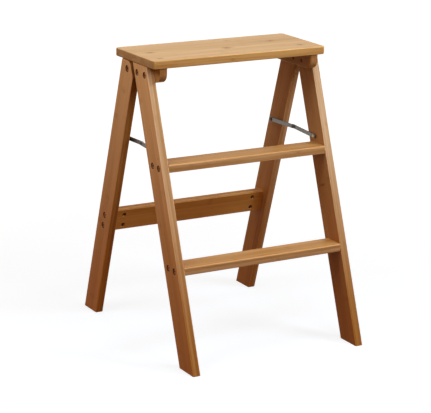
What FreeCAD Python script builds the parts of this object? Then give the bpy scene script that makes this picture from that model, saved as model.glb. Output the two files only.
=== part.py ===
import FreeCAD, Part
import math
import os
import Sketcher
from FreeCAD import Placement, Rotation, Vector

# Folding step stool of laminated bamboo board.
# Millimetres. X runs across the stool, Y from the front (-) to the back (+), Z up.
# The origin is on the floor, in the middle of the base that the four feet span.
# The front legs, two treads, seat board and cleats are one rigid frame.
# The rear legs and their stretcher swing about two pivot bolts under the seat,
# and a folding steel brace on each side joins the two frames.

SIZES = (
    ("stool_width", 430.0, "across the legs' outer faces, and the seat's length"),
    ("overall_height", 640.0, "floor to the top of the seat"),
    ("base_depth", 525.0, "front foot to back foot along the floor"),
    ("seat_depth", 180.0, "seat board, front to back"),
    ("seat_thickness", 18.0, "seat board"),
    ("seat_front", 72.5, "seat's front edge ahead of the base's middle"),
    ("seat_corner_radius", 8.0, "seat's upright corners"),
    ("seat_edge_radius", 2.5, "round along the seat's edges"),
    ("leg_width", 58.0, "every leg, square to its length"),
    ("leg_thickness", 18.0, "every leg, across the stool"),
    ("leg_edge_radius", 2.0, "round along the legs' long edges"),
    ("front_leg_setback", 34.5, "front leg's top behind the seat's front edge"),
    ("fold_gap", 1.5, "between front and rear legs when folded"),
    ("top_clearance", 0.8, "rear leg's round nose below the seat"),
    ("side_clearance", 0.3, "rear leg beside the cleat"),
    ("shoulder_radius", 4.0, "rear leg's shoulder below its facet"),
    ("cleat_thickness", 18.0, "cleat, across the stool"),
    ("cleat_height", 33.0, "cleat, below the seat"),
    ("cleat_length", 162.0, "cleat, front to back"),
    ("cleat_setback", 4.0, "cleat's front end behind the seat's front edge"),
    ("cleat_end_radius", 20.0, "cleat's lower corners"),
    ("cleat_edge_radius", 3.5, "round along the cleat's inner edges"),
    ("slat_width", 52.0, "treads and stretcher"),
    ("slat_thickness", 18.0, "treads and stretcher"),
    ("slat_edge_radius", 2.0, "round along a slat's edges"),
    ("tread_nose_radius", 4.5, "tread's upper front edge"),
    ("tread_inset", 1.5, "tread's nose behind the leg's front edge"),
    ("lower_tread_height", 207.5, "middle of the lower tread above the floor"),
    ("middle_tread_height", 414.5, "middle of the upper tread above the floor"),
    ("stretcher_height", 234.0, "middle of the stretcher above the floor"),
    ("slat_bolt_spacing", 27.0, "two bolts in a slat's end"),
    ("cleat_bolt_spacing", 34.0, "two bolts from front leg to cleat"),
    ("cleat_bolt_drop", 2.5, "cleat's bolts below its middle line"),
    ("bolt_radius", 3.0, "shank of every frame bolt"),
    ("bolt_head_radius", 6.0, "frame bolt's head"),
    ("bolt_head_height", 3.0, "frame bolt's head"),
    ("bolt_head_bevel", 1.0, "bevel round a bolt's head"),
    ("bolt_clearance", 0.3, "hole round a bolt's shank"),
    ("head_clearance", 1.2, "recess round a bolt's head"),
    ("head_recess", 4.5, "depth of a bolt head's recess"),
    ("socket_radius", 2.6, "hexagon socket, centre to corner"),
    ("socket_depth", 2.0, "hexagon socket"),
    ("thread_fit", 0.05, "nut, sleeve or cross nut round its bolt"),
    ("pivot_radius", 4.0, "pivot bolt's shank"),
    ("pivot_head_radius", 6.6, "pivot bolt's head"),
    ("pivot_fit", 0.05, "rear leg's bore round the pivot bolt"),
    ("sleeve_radius", 4.7, "threaded sleeve of a cleat bolt"),
    ("sleeve_length", 12.0, "threaded sleeve of a cleat bolt"),
    ("sleeve_recess", 1.2, "sleeve's end inside the cleat's inner face"),
    ("sleeve_fit", 0.05, "cleat round a threaded sleeve"),
    ("bolt_end_recess", 2.4, "cleat bolt's end inside the cleat's inner face"),
    ("pivot_nut_corner_radius", 7.4, "pivot bolt's nut, centre to corner"),
    ("nut_thickness", 5.0, "pivot bolt's nut"),
    ("nut_recess", 6.0, "depth of the nut's recess in the cleat"),
    ("nut_clearance", 1.0, "recess round the nut's corners"),
    ("cross_nut_radius", 5.0, "barrel nut in a slat"),
    ("cross_nut_length", 12.0, "barrel nut in a slat"),
    ("cross_nut_clearance", 0.1, "slat round a barrel nut"),
    ("cross_nut_setback", 28.0, "barrel nut's middle from the slat's end"),
    ("cross_nut_slot", 1.4, "width and depth of the barrel nut's driver slot"),
    ("seat_screw_radius", 2.2, "screw through a cleat into the seat"),
    ("seat_screw_head_radius", 4.2, "its head"),
    ("seat_screw_head_height", 2.5, "its head"),
    ("seat_screw_recess", 5.0, "its recess in the cleat's underside"),
    ("seat_screw_grip", 10.0, "its length in the seat"),
    ("seat_screw_fit", 0.1, "hole round its shank"),
    ("rear_seat_screw_back", 78.0, "rear seat screw behind the base's middle"),
    ("front_anchor_height", 437.0, "brace's front screw above the floor"),
    ("rear_anchor_height", 439.0, "brace's rear screw above the floor"),
    ("front_anchor_offset", 6.0, "front screw behind the front leg's middle line"),
    ("rear_anchor_offset", 12.0, "rear screw behind the rear leg's middle line"),
    ("knee_reach", 86.0, "knee rivet behind the front screw, along the brace"),
    ("knee_rise", 3.6, "knee rivet above the line of the two screws"),
    ("link_width", 9.0, "brace strip"),
    ("link_thickness", 2.0, "brace strip"),
    ("link_corner_radius", 2.0, "brace strip's corners"),
    ("link_overhang", 7.0, "brace strip beyond its screw"),
    ("link_gap", 0.1, "between the two strips of a brace"),
    ("link_washer", 1.0, "washer between the front leg and its strip"),
    ("washer_radius", 4.5, "brace washers"),
    ("anchor_shoulder_radius", 2.4, "brace screw's shoulder"),
    ("anchor_thread_radius", 1.9, "brace screw's thread in the leg"),
    ("anchor_thread_length", 13.0, "brace screw's thread in the leg"),
    ("anchor_head_radius", 4.2, "brace screw's head"),
    ("anchor_head_height", 1.8, "brace screw's head"),
    ("anchor_fit", 0.05, "strip or washer round a brace screw"),
    ("rivet_radius", 2.0, "knee rivet's shank"),
    ("rivet_head_radius", 3.6, "knee rivet's head"),
    ("rivet_head_height", 0.8, "knee rivet's head"),
)

# Places that follow from the sizes. Angles are in degrees.
DERIVED = (
    ("half_width", "stool_width / 2"),
    ("half_base", "base_depth / 2"),
    ("leg_rise", "overall_height - seat_thickness"),
    ("leg_inner", "half_width - leg_thickness"),
    ("rear_leg_inner", "leg_inner + side_clearance"),
    ("cleat_inner", "leg_inner - cleat_thickness"),
    ("cleat_bottom", "leg_rise - cleat_height"),
    ("cleat_front", "cleat_setback - seat_front"),
    ("cleat_back", "cleat_front + cleat_length"),
    ("front_tilt", "atan((half_base - seat_front + front_leg_setback) / leg_rise)"),
    ("front_foot", "leg_width / cos(front_tilt)"),
    ("pivot_height", "leg_rise - cleat_height / 2 - cleat_bolt_drop"),
    ("fold_offset", "(leg_width / 2 + fold_gap) / cos(front_tilt)"),
    ("front_edge_at_pivot", "pivot_height * tan(front_tilt) - half_base"),
    ("pivot_back", "front_edge_at_pivot + front_foot + fold_offset"),
    ("rear_reach", "half_base - pivot_back"),
    ("pivot_to_foot", "sqrt(rear_reach * rear_reach + pivot_height * pivot_height)"),
    ("rear_tilt", "atan(rear_reach / pivot_height) - asin(leg_width / 2 / pivot_to_foot)"),
    ("rear_foot", "leg_width / cos(rear_tilt)"),
    ("fold_angle", "front_tilt + rear_tilt"),
    ("nose_radius", "leg_rise - pivot_height - top_clearance"),
    ("shoulder", "(nose_radius - leg_width / 2 * cos(fold_angle)) / sin(fold_angle)"),
    ("cleat_bolt_back", "front_edge_at_pivot + front_foot / 2"),
    ("tread_offset", "tread_inset + slat_width / 2 - half_base"),
    ("lower_tread_back", "lower_tread_height * tan(front_tilt) + tread_offset"),
    ("middle_tread_back", "middle_tread_height * tan(front_tilt) + tread_offset"),
    ("rear_line_at_floor", "half_base - rear_foot / 2"),
    ("stretcher_back", "rear_line_at_floor - stretcher_height * tan(rear_tilt)"),
    ("bolt_seat", "half_width - head_recess"),
    ("slat_bolt_length", "bolt_seat - leg_inner + cross_nut_setback + cross_nut_radius"),
    ("cleat_bolt_length", "bolt_seat - cleat_inner - bolt_end_recess"),
    ("pivot_bolt_length", "bolt_seat - cleat_inner - nut_recess + nut_thickness"),
    ("front_line_at_floor", "front_foot / 2 - half_base"),
    ("front_anchor_line", "front_line_at_floor + front_anchor_height * tan(front_tilt)"),
    ("front_anchor_back", "front_anchor_line + front_anchor_offset"),
    ("rear_anchor_line", "rear_line_at_floor - rear_anchor_height * tan(rear_tilt)"),
    ("rear_anchor_back", "rear_anchor_line + rear_anchor_offset"),
    ("anchor_run", "rear_anchor_back - front_anchor_back"),
    ("anchor_lift", "rear_anchor_height - front_anchor_height"),
    ("anchor_span", "sqrt(anchor_run * anchor_run + anchor_lift * anchor_lift)"),
    ("anchor_slope", "atan(anchor_lift / anchor_run)"),
    ("knee_rest", "anchor_span - knee_reach"),
    ("front_link_length", "sqrt(knee_reach * knee_reach + knee_rise * knee_rise)"),
    ("rear_link_length", "sqrt(knee_rest * knee_rest + knee_rise * knee_rise)"),
    ("front_link_angle", "anchor_slope + atan(knee_rise / knee_reach)"),
    ("rear_link_angle", "180 deg + anchor_slope - atan(knee_rise / knee_rest)"),
    ("rear_link_face", "link_washer + link_thickness + link_gap"),
    ("rivet_joint", "link_washer + link_thickness + link_gap / 2"),
)

# Fasteners and slats that lie level across the stool: place of each in Y and Z.
TREADS = {
    "tread_lower": ("lower_tread_back", "lower_tread_height"),
    "tread_middle": ("middle_tread_back", "middle_tread_height"),
}
SIDES = {"left": -1, "right": 1}
PAIR = (-1, 1)
HEXAGON = 6
TURN = 360
ALIASES = {row[0] for row in SIZES + DERIVED}
ACROSS = Vector(1, 0, 0)
BACK = Vector(0, 1, 0)
UP = Vector(0, 0, 1)
# How near counts as the same: a volume or a direction, and a place in millimetres.
SAME = 1e-6
SAME_PLACE = 1e-3

doc = FreeCAD.newDocument("StepStool")
sheet = doc.addObject("Spreadsheet::Sheet", "Sizes")
parts = []


def fill_sheet():
    """Writes the driving sizes as numbers and what follows from them as formulas."""
    row = 0
    for alias, size, note in SIZES:
        row += 1
        sheet.set(f"A{row}", alias)
        sheet.set(f"B{row}", str(size))
        sheet.setAlias(f"B{row}", alias)
        sheet.set(f"C{row}", note)
    for alias, formula in DERIVED:
        row += 1
        sheet.set(f"A{row}", alias)
        sheet.set(f"B{row}", "=" + formula)
        sheet.setAlias(f"B{row}", alias)
    doc.recompute()


def size(alias):
    """A size or an angle in degrees, read from the sheet."""
    value = sheet.get(alias)
    return float(getattr(value, "Value", value))


def names_in(formula):
    """The formula with each of the sheet's aliases written as Sizes.alias."""
    words = []
    word = ""
    for letter in formula + " ":
        if letter.isalnum() or letter == "_":
            word += letter
            continue
        if word in ALIASES:
            word = "Sizes." + word
        words.append(word + letter)
        word = ""
    return "".join(words).strip()


def bind(thing, path, formula):
    thing.setExpression(path, names_in(formula))


def number(thing, formula):
    value = thing.evalExpression(names_in(formula))
    return float(getattr(value, "Value", value))


def new_body(name, back="0", height="0", across="0", turn_axis=None, turn="0"):
    """A body with its own place: across in X, back in Y, height in Z, and one turn."""
    body = doc.addObject("PartDesign::Body", name)
    body.Label = name
    if turn_axis is not None:
        body.Placement = Placement(Vector(), Rotation(turn_axis, number(body, turn)))
        bind(body, "Placement.Rotation.Angle", turn)
    bind(body, "Placement.Base.x", across)
    bind(body, "Placement.Base.y", back)
    bind(body, "Placement.Base.z", height)
    return body


def keep(part):
    parts.append(part)
    return part


def new_sketch(body, role, offset="0"):
    """A sketch on one of the body's origin planes, moved along the plane's normal."""
    plane = next(item for item in body.Origin.OriginFeatures if item.Role == role)
    sketch = body.newObject("Sketcher::SketchObject", body.Name + "_sketch")
    sketch.AttachmentSupport = [(plane, "")]
    sketch.MapMode = "FlatFace"
    bind(sketch, "AttachmentOffset.Base.z", offset)
    return sketch


def fix(sketch, kind, geometry, point, formula):
    """Ties a point's distance from the sketch's origin to a formula."""
    value = number(sketch, formula)
    index = sketch.addConstraint(Sketcher.Constraint(kind, -1, 1, geometry, point, value))
    bind(sketch, f"Constraints[{index}]", formula)


def draw_outline(sketch, corners):
    """Straight edges through the corners, each corner fixed by its two distances."""
    first = sketch.GeometryCount
    places = [Vector(number(sketch, x), number(sketch, y), 0) for x, y in corners]
    count = len(corners)
    for n in range(count):
        sketch.addGeometry(Part.LineSegment(places[n], places[(n + 1) % count]), False)
    for n in range(count):
        after = first + (n + 1) % count
        sketch.addConstraint(Sketcher.Constraint("Coincident", first + n, 2, after, 1))
    for n, (x, y) in enumerate(corners):
        fix(sketch, "DistanceX", first + n, 1, x)
        fix(sketch, "DistanceY", first + n, 1, y)


def draw_box(sketch, low_x, high_x, low_y, high_y):
    draw_outline(sketch, ((low_x, low_y), (high_x, low_y), (high_x, high_y), (low_x, high_y)))


def draw_circle(sketch, x, y, radius):
    centre = Vector(number(sketch, x), number(sketch, y), 0)
    circle = Part.Circle(centre, Vector(0, 0, 1), number(sketch, radius))
    index = sketch.addGeometry(circle, False)
    fix(sketch, "DistanceX", index, 3, x)
    fix(sketch, "DistanceY", index, 3, y)
    value = number(sketch, radius)
    constraint = sketch.addConstraint(Sketcher.Constraint("Radius", index, value))
    bind(sketch, f"Constraints[{constraint}]", radius)


def draw_hexagon(sketch, radius):
    corners = []
    for n in range(HEXAGON):
        angle = n * TURN / HEXAGON
        corners.append((f"{radius} * cos({angle})", f"{radius} * sin({angle})"))
    draw_outline(sketch, corners)


def pad(body, sketch, length, symmetric=False):
    feature = body.newObject("PartDesign::Pad", body.Name + "_pad")
    feature.Profile = sketch
    if symmetric:
        feature.SideType = "Symmetric"
    bind(feature, "Length", length)
    doc.recompute()
    return feature


def pocket(body, sketch, depth, reverse=False):
    """Cuts the sketch into the body against the plane's normal, or along it in reverse."""
    before = body.Shape.Volume
    feature = body.newObject("PartDesign::Pocket", body.Name + "_pocket")
    feature.Profile = sketch
    feature.Type = "Length"
    feature.Reversed = reverse
    bind(feature, "Length", depth)
    doc.recompute()
    if body.Shape.Volume > before - SAME:
        raise RuntimeError(feature.Label + " cuts nothing")
    return feature


def drill(body, role, offset, holes, radius, depth, reverse=False):
    """Pockets one round hole at each place."""
    sketch = new_sketch(body, role, offset)
    for x, y in holes:
        draw_circle(sketch, x, y, radius)
    return pocket(body, sketch, depth, reverse)


def revolve(body, corners):
    """Turns a half outline about X: the corners give distance along X and radius."""
    sketch = new_sketch(body, "XY_Plane")
    draw_outline(sketch, corners)
    feature = body.newObject("PartDesign::Revolution", body.Name + "_revolution")
    feature.Profile = sketch
    feature.ReferenceAxis = (sketch, ["H_Axis"])
    feature.Angle = TURN
    doc.recompute()
    return feature


def round_edges(body, radius, wanted):
    """Rounds the edges that the test picks from the body's present shape."""
    base = body.Tip
    shape = base.Shape
    names = [f"Edge{n + 1}" for n, edge in enumerate(shape.Edges) if wanted(edge)]
    feature = body.newObject("PartDesign::Fillet", body.Name + "_fillet")
    feature.Base = (base, names)
    bind(feature, "Radius", radius)
    doc.recompute()
    return feature


def along(edge, axis):
    """True for a straight edge that runs along the axis."""
    if edge.Curve.TypeId != "Part::GeomLine":
        return False
    return abs(abs(edge.tangentAt(edge.FirstParameter).dot(axis)) - 1) < SAME


def near(edge, y=None, z=None):
    """True where the middle of an edge lies at the given Y and Z."""
    middle = edge.CenterOfMass
    on_y = y is None or abs(middle.y - y) < SAME_PLACE
    return on_y and (z is None or abs(middle.z - z) < SAME_PLACE)


def seat_board():
    body = keep(new_body("seat_board", "seat_depth / 2 - seat_front", "leg_rise"))
    sketch = new_sketch(body, "XY_Plane")
    draw_box(sketch, "-half_width", "half_width", "-seat_depth / 2", "seat_depth / 2")
    pad(body, sketch, "seat_thickness")
    round_edges(body, "seat_corner_radius", lambda edge: along(edge, UP))
    thickness = size("seat_thickness")
    rim = (0, thickness)
    round_edges(body, "seat_edge_radius", lambda edge: any(near(edge, None, z) for z in rim))
    holes = []
    for side in PAIR:
        for back in seat_screw_places():
            across = f"{side} * (cleat_inner + cleat_thickness / 2)"
            holes.append((across, f"{back} + seat_front - seat_depth / 2"))
    radius = "seat_screw_radius + seat_screw_fit"
    depth = "seat_screw_grip + seat_screw_fit"
    drill(body, "XY_Plane", "0", holes, radius, depth, reverse=True)


def seat_screw_places():
    """The seat screws' places in Y: one between the cleat bolts, one near the back."""
    return "cleat_bolt_back", "rear_seat_screw_back"


def cleat_bolt_places():
    return [(f"cleat_bolt_back + {n} * cleat_bolt_spacing / 2", "pivot_height") for n in PAIR]


def cleat(name, side):
    """A rail under the seat that the front leg is bolted to and the rear leg turns on."""
    body = keep(new_body(name))
    sketch = new_sketch(body, "YZ_Plane", f"{side} * (cleat_inner + cleat_thickness / 2)")
    draw_box(sketch, "cleat_front", "cleat_back", "cleat_bottom", "leg_rise")
    pad(body, sketch, "cleat_thickness", symmetric=True)
    bottom = size("cleat_bottom")
    ends = [size("cleat_front"), size("cleat_back")]
    round_edges(
        body,
        "cleat_end_radius",
        lambda edge: along(edge, ACROSS) and any(near(edge, y, bottom) for y in ends),
    )
    inner = side * size("cleat_inner")
    top = size("leg_rise")
    round_edges(
        body,
        "cleat_edge_radius",
        lambda edge: abs(edge.CenterOfMass.x - inner) < SAME_PLACE
        and not near(edge, None, top),
    )
    into_left = side < 0
    outer = f"{side} * leg_inner"
    bolts = cleat_bolt_places()
    drill(body, "YZ_Plane", outer, bolts, "bolt_radius + bolt_clearance", "cleat_thickness", into_left)
    pivot = [("pivot_back", "pivot_height")]
    drill(body, "YZ_Plane", outer, pivot, "pivot_radius + pivot_fit", "cleat_thickness", into_left)
    inside = f"{side} * cleat_inner"
    radius = "sleeve_radius + sleeve_fit"
    depth = "sleeve_recess + sleeve_length"
    drill(body, "YZ_Plane", inside, bolts, radius, depth, not into_left)
    radius = "pivot_nut_corner_radius + nut_clearance"
    drill(body, "YZ_Plane", inside, pivot, radius, "nut_recess", not into_left)
    middle = f"{side} * (cleat_inner + cleat_thickness / 2)"
    screws = [(middle, back) for back in seat_screw_places()]
    radius = "seat_screw_radius + seat_screw_fit"
    drill(body, "XY_Plane", "leg_rise", screws, radius, "cleat_height")
    radius = "seat_screw_head_radius + seat_screw_fit"
    drill(body, "XY_Plane", "cleat_bottom", screws, radius, "seat_screw_recess", True)


def leg_blank(name, across, thickness, corners):
    """A flat leg cut from board, its outline drawn in place seen from the side."""
    body = keep(new_body(name, across=across))
    sketch = new_sketch(body, "YZ_Plane")
    draw_outline(sketch, corners)
    pad(body, sketch, thickness, symmetric=True)
    return body


def head_holes(body, side, places, shank, head, thickness):
    """A through hole for each bolt, with a recess for its head in the outer face."""
    outward = f"{side} * ({thickness}) / 2"
    inwards = side < 0
    drill(body, "YZ_Plane", outward, places, shank, thickness, inwards)
    drill(body, "YZ_Plane", outward, places, head, "head_recess", inwards)


def slat_bolt_places(tread):
    back, height = TREADS[tread]
    return [(f"{back} + {n} * slat_bolt_spacing / 2", height) for n in PAIR]


def front_leg(name, side):
    thickness = "leg_thickness"
    top = "leg_rise * tan(front_tilt) - half_base"
    corners = (
        ("-half_base", "0"),
        ("front_foot - half_base", "0"),
        (top + " + front_foot", "leg_rise"),
        (top, "leg_rise"),
    )
    body = leg_blank(name, f"{side} * (half_width - {thickness} / 2)", thickness, corners)
    tilt = math.radians(size("front_tilt"))
    lengthwise = Vector(0, math.sin(tilt), math.cos(tilt))
    round_edges(body, "leg_edge_radius", lambda edge: along(edge, lengthwise))
    bolts = cleat_bolt_places() + slat_bolt_places("tread_lower")
    bolts += slat_bolt_places("tread_middle")
    shank = "bolt_radius + bolt_clearance"
    head_holes(body, side, bolts, shank, "bolt_head_radius + head_clearance", thickness)
    anchor = [("front_anchor_back", "front_anchor_height")]
    inside = f"{-side} * {thickness} / 2"
    radius = "anchor_thread_radius + anchor_fit"
    drill(body, "YZ_Plane", inside, anchor, radius, "anchor_thread_length", side > 0)


def stretcher_bolt_places():
    """Two places on the rear leg's middle line, either side of the stretcher's middle."""
    places = []
    for n in PAIR:
        back = f"stretcher_back - {n} * slat_bolt_spacing / 2 * sin(rear_tilt)"
        height = f"stretcher_height + {n} * slat_bolt_spacing / 2 * cos(rear_tilt)"
        places.append((back, height))
    return places


def rear_leg(name, side):
    """The leg that swings. Its top front corner is a round nose about the pivot, so that it
    turns clear of the seat, and runs into a facet parallel to the front leg's back edge. The
    shoulder below the facet swings to the front leg without touching it."""
    thickness = "(leg_thickness - side_clearance)"
    nose_top = "pivot_height + nose_radius"
    nose = "pivot_back - nose_radius * (1 - sin(front_tilt)) / cos(front_tilt)"
    shoulder = (
        "pivot_back - leg_width / 2 * cos(rear_tilt) - shoulder * sin(rear_tilt)",
        "pivot_height - leg_width / 2 * sin(rear_tilt) + shoulder * cos(rear_tilt)",
    )
    back_edge_top = f"half_base - ({nose_top}) * tan(rear_tilt)"
    corners = (
        ("half_base", "0"),
        (back_edge_top, nose_top),
        (nose, nose_top),
        shoulder,
        ("half_base - rear_foot", "0"),
    )
    body = leg_blank(name, f"{side} * (half_width - {thickness} / 2)", thickness, corners)
    nose_place = [number(body, formula) for formula in (nose, nose_top)]
    round_edges(
        body,
        "nose_radius",
        lambda edge: along(edge, ACROSS) and near(edge, *nose_place),
    )
    shoulder_place = [number(body, formula) for formula in shoulder]
    round_edges(
        body,
        "shoulder_radius",
        lambda edge: along(edge, ACROSS) and near(edge, *shoulder_place),
    )
    tilt = math.radians(size("rear_tilt"))
    lengthwise = Vector(0, -math.sin(tilt), math.cos(tilt))
    round_edges(body, "leg_edge_radius", lambda edge: along(edge, lengthwise))
    shank = "bolt_radius + bolt_clearance"
    head = "bolt_head_radius + head_clearance"
    head_holes(body, side, stretcher_bolt_places(), shank, head, thickness)
    pivot = [("pivot_back", "pivot_height")]
    head = "pivot_head_radius + head_clearance"
    head_holes(body, side, pivot, "pivot_radius + pivot_fit", head, thickness)
    anchor = [("rear_anchor_back", "rear_anchor_height")]
    inside = f"{-side} * {thickness} / 2"
    radius = "anchor_thread_radius + anchor_fit"
    drill(body, "YZ_Plane", inside, anchor, radius, "anchor_thread_length", side > 0)


def slat(body, half_length, nose):
    """A board across the stool: length along X, width along Y, thickness along Z, with two
    bolt holes in each end and a blind cross hole for each bolt's barrel nut from below."""
    sketch = new_sketch(body, "XY_Plane")
    draw_box(sketch, f"-({half_length})", half_length, "-slat_width / 2", "slat_width / 2")
    pad(body, sketch, "slat_thickness", symmetric=True)
    half = size("slat_thickness") / 2
    front = -size("slat_width") / 2
    long_edges = []
    if nose:
        long_edges = [(front, half)]
        round_edges(
            body,
            nose,
            lambda edge: along(edge, ACROSS) and near(edge, front, half),
        )
    rest = [(y, z) for y in (front, -front) for z in (-half, half) if (y, z) not in long_edges]
    round_edges(
        body,
        "slat_edge_radius",
        lambda edge: along(edge, ACROSS) and any(near(edge, *place) for place in rest),
    )
    bolts = [(f"{n} * slat_bolt_spacing / 2", "0") for n in PAIR]
    depth = "cross_nut_setback + cross_nut_radius + bolt_clearance"
    bolt_holes = drill(body, "YZ_Plane", half_length, bolts, "bolt_radius + bolt_clearance", depth)
    crosses = [(f"{half_length} - cross_nut_setback", y) for y, z in bolts]
    radius = "cross_nut_radius + cross_nut_clearance"
    depth = "slat_thickness / 2 + cross_nut_length / 2"
    cross_holes = drill(body, "XY_Plane", "-slat_thickness / 2", crosses, radius, depth, True)
    mirrored = body.newObject("PartDesign::Mirrored", body.Name + "_ends")
    mirrored.Originals = [bolt_holes, cross_holes]
    plane = next(item for item in body.Origin.OriginFeatures if item.Role == "YZ_Plane")
    mirrored.MirrorPlane = (plane, [""])
    body.Tip = mirrored
    doc.recompute()


def treads():
    for name, (back, height) in TREADS.items():
        slat(keep(new_body(name, back, height)), "leg_inner", "tread_nose_radius")


def stretcher():
    """The slat between the rear legs, in line with them, its cross holes to the front."""
    turn = "rear_tilt - 90 deg"
    body = new_body("rear_stretcher", "stretcher_back", "stretcher_height", "0", ACROSS, turn)
    slat(keep(body), "rear_leg_inner", None)


def bolt(name, radius, head_radius, length):
    """A socket-head bolt about X, its head's underside at the origin, its head towards +X."""
    body = new_body(name)
    corners = (
        (f"-({length})", "0"),
        (f"-({length})", radius),
        ("0", radius),
        ("0", head_radius),
        ("bolt_head_height - bolt_head_bevel", head_radius),
        ("bolt_head_height", f"{head_radius} - bolt_head_bevel"),
        ("bolt_head_height", "0"),
    )
    revolve(body, corners)
    socket = new_sketch(body, "YZ_Plane", "bolt_head_height")
    draw_hexagon(socket, f"socket_radius * {radius} / bolt_radius")
    pocket(body, socket, "socket_depth")
    return body


def nut(name):
    """The pivot bolt's hexagon nut about X, from its seat at the origin towards -X."""
    body = new_body(name)
    sketch = new_sketch(body, "YZ_Plane", "-nut_thickness")
    draw_hexagon(sketch, "pivot_nut_corner_radius")
    draw_circle(sketch, "0", "0", "pivot_radius + thread_fit")
    pad(body, sketch, "nut_thickness")
    return body


def sleeve(name):
    """A cleat bolt's threaded sleeve about X, from its open end at the origin towards +X."""
    body = new_body(name)
    sketch = new_sketch(body, "YZ_Plane")
    draw_circle(sketch, "0", "0", "sleeve_radius")
    draw_circle(sketch, "0", "0", "bolt_radius + thread_fit")
    pad(body, sketch, "sleeve_length")
    return body


def cross_nut(name):
    """A barrel nut about Z with its bolt's hole along X and a driver slot below."""
    body = new_body(name)
    sketch = new_sketch(body, "XY_Plane")
    draw_circle(sketch, "0", "0", "cross_nut_radius")
    pad(body, sketch, "cross_nut_length", symmetric=True)
    centre = [("0", "0")]
    through = "2 * cross_nut_radius"
    drill(body, "YZ_Plane", "cross_nut_radius", centre, "bolt_radius + thread_fit", through)
    slot = new_sketch(body, "XY_Plane", "-cross_nut_length / 2")
    half = "cross_nut_slot / 2"
    draw_box(slot, f"-{half}", half, "-cross_nut_radius", "cross_nut_radius")
    pocket(body, slot, "cross_nut_slot", True)
    return body


def seat_screw(name):
    """A pan-head wood screw about X, its head's underside at the origin, its tip at +X."""
    body = new_body(name)
    length = "(cleat_height - seat_screw_recess + seat_screw_grip)"
    corners = (
        ("-seat_screw_head_height", "0"),
        ("-seat_screw_head_height", "(seat_screw_head_radius + seat_screw_radius) / 2"),
        ("-seat_screw_head_height / 2", "seat_screw_head_radius"),
        ("0", "seat_screw_head_radius"),
        ("0", "seat_screw_radius"),
        (f"{length} - 2 * seat_screw_radius", "seat_screw_radius"),
        (length, "0"),
    )
    revolve(body, corners)
    return body


def anchor_screw(name, shoulder):
    """A shoulder screw about X, the leg's face at the origin, thread at +X, head at -X."""
    body = new_body(name)
    corners = (
        (f"-({shoulder}) - anchor_head_height", "0"),
        (f"-({shoulder}) - anchor_head_height", "(anchor_head_radius + anchor_thread_radius) / 2"),
        (f"-({shoulder}) - anchor_head_height / 2", "anchor_head_radius"),
        (f"-({shoulder})", "anchor_head_radius"),
        (f"-({shoulder})", "anchor_shoulder_radius"),
        ("0", "anchor_shoulder_radius"),
        ("0", "anchor_thread_radius"),
        ("anchor_thread_length - anchor_thread_radius", "anchor_thread_radius"),
        ("anchor_thread_length", "0"),
    )
    revolve(body, corners)
    return body


def washer(name, thickness):
    """A washer about X, the leg's face at the origin, the washer towards -X."""
    body = new_body(name)
    sketch = new_sketch(body, "YZ_Plane", f"-({thickness})")
    draw_circle(sketch, "0", "0", "washer_radius")
    draw_circle(sketch, "0", "0", "anchor_shoulder_radius + anchor_fit")
    pad(body, sketch, thickness)
    return body


def rivet_half(name, length):
    """Half of a knee rivet about X: shank from the split at the origin, head at +X."""
    body = new_body(name)
    corners = (
        ("0", "0"),
        ("0", "rivet_radius"),
        (length, "rivet_radius"),
        (length, "rivet_head_radius"),
        (f"{length} + rivet_head_height", "(rivet_head_radius + rivet_radius) / 2"),
        (f"{length} + rivet_head_height", "0"),
    )
    revolve(body, corners)
    return body


def set_of_copies(name, master, places):
    """One part of several copies: each place gives X, Y, Z and a turn about an axis."""
    copies = []
    for n, (across, back, height, axis, turn) in enumerate(places):
        copy = doc.addObject("App::Link", f"{name}_{n + 1}")
        copy.LinkedObject = master
        copy.LinkTransform = False
        copy.Placement = Placement(Vector(), Rotation(axis, number(copy, turn)))
        bind(copy, "Placement.Base.x", across)
        bind(copy, "Placement.Base.y", back)
        bind(copy, "Placement.Base.z", height)
        bind(copy, "Placement.Rotation.Angle", turn)
        copies.append(copy)
    compound = doc.addObject("Part::Compound", name)
    compound.Label = name
    compound.Links = copies
    return keep(compound)


def half_turn(side):
    """The turn about Z that points a piece made for the right side outwards."""
    return "0 deg" if side > 0 else "180 deg"


def frame_fasteners(side_name, side):
    """Bolts in the outer faces, and what they screw into in the cleat, one side."""
    turn = half_turn(side)
    seat = f"{side} * bolt_seat"
    tread_places = slat_bolt_places("tread_lower") + slat_bolt_places("tread_middle")
    groups = (
        ("tread_bolts", slat_bolt, tread_places),
        ("stretcher_bolts", slat_bolt, stretcher_bolt_places()),
        ("cleat_bolts", cleat_bolt, cleat_bolt_places()),
        ("pivot_bolt", pivot_bolt, [("pivot_back", "pivot_height")]),
    )
    for label, master, bolts in groups:
        places = [(seat, back, height, UP, turn) for back, height in bolts]
        set_of_copies(f"{label}_{side_name}", master, places)
    groups = (
        ("cleat_nuts", cleat_sleeve, "sleeve_recess", cleat_bolt_places()),
        ("pivot_nut", pivot_nut, "nut_recess", [("pivot_back", "pivot_height")]),
    )
    for label, master, recess, nuts in groups:
        seat = f"{side} * (cleat_inner + {recess})"
        places = [(seat, back, height, UP, turn) for back, height in nuts]
        set_of_copies(f"{label}_{side_name}", master, places)


def barrel_nuts():
    """Barrel nuts of the two treads, upright, and of the stretcher, square to its face."""
    places = []
    for side in PAIR:
        across = f"{side} * (leg_inner - cross_nut_setback)"
        for tread in TREADS:
            for back, height in slat_bolt_places(tread):
                places.append((across, back, height, ACROSS, "0 deg"))
    set_of_copies("tread_barrel_nuts", barrel_nut, places)
    places = []
    for side in PAIR:
        across = f"{side} * (rear_leg_inner - cross_nut_setback)"
        for back, height in stretcher_bolt_places():
            places.append((across, back, height, ACROSS, "rear_tilt - 90 deg"))
    set_of_copies("stretcher_barrel_nuts", barrel_nut, places)


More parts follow.
